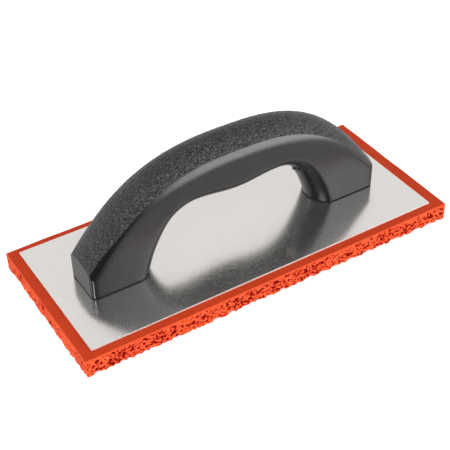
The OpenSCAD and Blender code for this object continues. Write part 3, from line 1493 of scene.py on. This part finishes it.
        def sharp(a: int, b: int) -> bool:
            """Tests an edge for the seams round the cover and the rims of the feet.

            Args:
                a: The number of the edge's first point.
                b: The number of its second point.

            Returns:
                True where the edge stays sharp.
            """
            if ring[a] == ring[b]:
                over = first <= place[a] <= last and first <= place[b] <= last
                seam = ring[a] in (seam_low, seam_low + 1, seam_high - 1, seam_high)
                foot = min(ring[a], final - ring[a]) < 3
                return foot or (seam and over)
            along = place[a] == place[b] and place[a] in (first, last)
            return along and min(ring[a], ring[b]) >= seam_low and max(ring[a], ring[b]) <= seam_high

        crease(piece, sharp)
        apply_modifier(piece, "SUBSURF", levels=1, render_levels=1)
        low = Box.of(Node.CORE).low.z
        centres = [Vector((p.x, p.y, low + self.bore_depth / 2 - MM / 2)) for p in screw_places]
        carve(piece, centres, self.bore_radius, self.bore_depth + MM)
        smooth(piece, 40)
        dress(piece, PlasticFinish().build())
        return hand_over(piece, "handle_plastic", Node.CORE)

    def build_cover(self) -> bpy.types.Object:
        """Lofts the cover, refines it and presses the mould's grain into its outer face.

        Returns:
            The cover.
        """
        outline = Loft("grained_cover", [self.cover_ring(run) for run in self.cover_runs()])
        piece = outline.build()
        ring, place = outline.indices(piece)
        final = len(outline.rings) - 1

        def sharp(a: int, b: int) -> bool:
            """True for the cover's rim."""
            if ring[a] == ring[b]:
                return ring[a] in (0, final)
            return place[a] == place[b] and place[a] in (0, self.cover_steps)

        crease(piece, sharp)
        grain = piece.vertex_groups.new(name="grain")
        for vertex in range(len(ring)):
            edge = min(place[vertex], self.cover_steps - place[vertex], ring[vertex], final - ring[vertex])
            if place[vertex] <= self.cover_steps:
                grain.add([vertex], min(1.0, edge / 2), "REPLACE")
        apply_modifier(piece, "SUBSURF", levels=2, render_levels=2)
        stipple = bpy.data.textures.new("grip_stipple", "CLOUDS")
        stipple.noise_scale = self.grain_size
        stipple.noise_depth = 1
        stipple.noise_basis = "ORIGINAL_PERLIN"
        apply_modifier(
            piece, "DISPLACE", texture=stipple, texture_coords="LOCAL", vertex_group="grain",
            strength=self.grain_height, mid_level=1.0,
        )
        smooth(piece, 60)
        dress(piece, GrainFinish().build())
        return hand_over(piece, "grip_plastic", Node.COVER)

    def build_flash(self) -> bpy.types.Object:
        """Leaves a torn ridge of flash across the underside, where the mould's halves met.

        Returns:
            The flash.
        """
        draw = np.random.default_rng(self.flash_seed)
        deselect_all()
        bpy.ops.mesh.primitive_grid_add(x_subdivisions=self.flash_steps, y_subdivisions=1, size=1.0)
        piece = bpy.context.object
        piece.name = "mould_flash"
        points = read_points(piece)
        heights = draw.uniform(*self.flash_height, self.flash_steps + 1)
        ways = self.flash_run + draw.uniform(-1.1, 1.1, self.flash_steps + 1)
        for row, (x, y, _) in enumerate(points):
            step = round((x + 0.5) * self.flash_steps)
            across = self.flash_from + (self.flash_to - self.flash_from) * (x + 0.5)
            proud = heights[step] if y > 0 else -0.4
            points[row] = self.underside(ways[step] + 0.4 * proud, across, proud)
        points[:, 0] += self.middle_x
        write_points(piece, points * MM)
        apply_modifier(piece, "SOLIDIFY", thickness=self.flash_thickness, offset=0.0)
        apply_modifier(piece, "SUBSURF", levels=1, render_levels=1)
        smooth(piece, 50)
        dress(piece, PlasticFinish().build())
        return hand_over(piece, "handle_plastic")


def smoothstep(value: float, start: float, end: float) -> float:
    """Goes smoothly from 0 at one value to 1 at another."""
    share = min(1.0, max(0.0, (value - start) / (end - start)))
    return share * share * (3 - 2 * share)


# ---------------------------------------------------------------------------------------------
# The fasteners
# ---------------------------------------------------------------------------------------------


@dataclass
class Screws:
    """The four screws that come up through the plate into the feet."""

    least_gap: float = 4 * MM

    def places(self) -> list[Vector]:
        """Finds the screws from the solids of the CAD node.

        Returns:
            The middle of each screw.
        """
        mesh = bpy.data.objects[Node.SCREWS.value].data
        box = Box.of(Node.SCREWS)
        across = sorted({round(v.co.x, 5) for v in mesh.vertices})
        groups: list[list[float]] = []
        for x in across:
            if groups and x - groups[-1][-1] < self.least_gap:
                groups[-1].append(x)
            else:
                groups.append([x])
        return [Vector(((g[0] + g[-1]) / 2, box.centre.y, box.centre.z)) for g in groups]

    def dress(self) -> None:
        """Gives the screws their plating."""
        dress(bpy.data.objects[Node.SCREWS.value], ZincFinish().build())


# ---------------------------------------------------------------------------------------------
# The studio
# ---------------------------------------------------------------------------------------------


@dataclass(frozen=True)
class SoftBox:
    """One rectangular studio light, aimed at the middle of the float."""

    name: str
    direction: Point
    distance: float
    size: tuple[float, float]
    watts: float
    colour: Rgb = (1.0, 1.0, 1.0)


@dataclass
class Studio:
    """The pale floor, the bright room behind it, the lights and the camera."""

    eye: Point = (-254.7 * MM, -408.0 * MM, 405.6 * MM)
    heading: float = math.radians(31.56)
    dip: float = math.radians(39.18)
    roll: float = math.radians(-0.96)
    lens: float = 85.2
    target: Point = (0.0, 0.0, 30 * MM)
    dark_direction: Point = (-0.60, -0.75, 0.28)
    dark_edges: tuple[float, float] = (0.42, 0.74)
    dark_level: float = 0.03
    ceiling_level: float = 0.55
    ceiling_edges: tuple[float, float] = (0.70, 0.95)
    floor_radius: float = 2.2
    floor_gap: float = 0.3 * MM
    floor_white: Rgb = (0.90, 0.90, 0.90)
    floor_glow: float = 0.4
    boxes: tuple[SoftBox, ...] = (
        SoftBox("low_right_box", (0.52, -0.83, 0.14), 1.1, (1.15, 0.45), 9.6),
        SoftBox("high_right_box", (0.45, -0.66, 0.62), 1.1, (0.50, 0.50), 1.6),
        SoftBox("left_box", (-0.93, 0.12, 0.36), 1.1, (0.60, 0.50), 2.8),
        SoftBox("key_lamp", (-0.53, -0.46, 0.71), 1.1, (0.28, 0.28), 6.2),
    )

    def build(self) -> None:
        """Sets up the room."""
        self.build_floor()
        self.build_room()
        for box in self.boxes:
            self.build_light(box)
        self.build_camera()

    def build_floor(self) -> None:
        """Lays a large white floor just under the pad, which casts no mirror image of itself."""
        deselect_all()
        bpy.ops.mesh.primitive_circle_add(
            vertices=96, radius=self.floor_radius, fill_type="NGON", location=(0, 0, -self.floor_gap)
        )
        floor = bpy.context.object
        floor.name = "studio_floor"
        settle(floor)
        sketch = Sketch("studio_paper")
        sketch.set(Base_Color=(*self.floor_white, 1.0), Roughness=0.9, Specular_IOR_Level=0.1)
        sketch.set(Emission_Color=(1.0, 1.0, 1.0, 1.0), Emission_Strength=self.floor_glow)
        dress(floor, sketch.material)
        floor.visible_glossy = False

    def build_room(self) -> None:
        """Makes the room bright all round, dim overhead and dark where the camera stands."""
        world = bpy.data.worlds.new("studio_room")
        bpy.context.scene.world = world
        world.use_nodes = True
        board = Board(world.node_tree)
        background = world.node_tree.nodes["Background"]
        background.inputs["Color"].default_value = (1.0, 1.0, 1.0, 1.0)
        way = board.node("TexCoord", {}).outputs["Generated"]
        stand = Vector(self.dark_direction).normalized()
        towards = board.node("VectorMath", {0: way, 1: stand}, operation="DOT_PRODUCT").outputs["Value"]
        height = board.node("SeparateXYZ", {0: way}).outputs[2]
        shade = board.math("MULTIPLY", board.fade(towards, *self.dark_edges), 1 - self.dark_level)
        ceiling = board.math("MULTIPLY", board.fade(height, *self.ceiling_edges), 1 - self.ceiling_level)
        lit = board.math("MULTIPLY", board.math("SUBTRACT", 1.0, shade), board.math("SUBTRACT", 1.0, ceiling))
        world.node_tree.links.new(lit, background.inputs["Strength"])

    def build_light(self, box: SoftBox) -> None:
        """Hangs one soft box.

        Args:
            box: What it is and where it hangs.
        """
        light = bpy.data.lights.new(box.name, "AREA")
        light.shape = "RECTANGLE"
        light.size, light.size_y = box.size
        light.energy = box.watts
        light.color = box.colour
        lamp = bpy.data.objects.new(box.name, light)
        towards = Vector(box.direction).normalized()
        lamp.location = Vector(self.target) + towards * box.distance
        lamp.rotation_euler = towards.to_track_quat("Z", "Y").to_euler()
        bpy.context.scene.collection.objects.link(lamp)

    def build_camera(self) -> None:
        """Sets the camera above the left front of the float, looking along and down at it."""
        data = bpy.data.cameras.new("studio_camera")
        data.lens = self.lens
        data.sensor_width = 36.0
        data.clip_start = 0.02
        camera = bpy.data.objects.new("studio_camera", data)
        turn = (
            Matrix.Rotation(-self.heading, 4, "Z")
            @ Matrix.Rotation(math.pi / 2 - self.dip, 4, "X")
            @ Matrix.Rotation(self.roll, 4, "Z")
        )
        camera.matrix_world = Matrix.Translation(self.eye) @ turn
        bpy.context.scene.collection.objects.link(camera)
        bpy.context.scene.camera = camera
        bpy.context.scene.view_settings.view_transform = "Standard"


def main() -> None:
    """Builds the float and its studio."""
    logging.basicConfig(level=logging.INFO, format="%(name)s: %(message)s")
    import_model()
    Studio().build()
    screws = Screws()
    places = screws.places()
    pieces = [*RubberPad().build(places), *BackingPlate().build(places), *ArchedHandle().build(places)]
    screws.dress()
    LOG.info("%d pieces modelled", len(pieces))


if __name__ == "__main__":
    main()
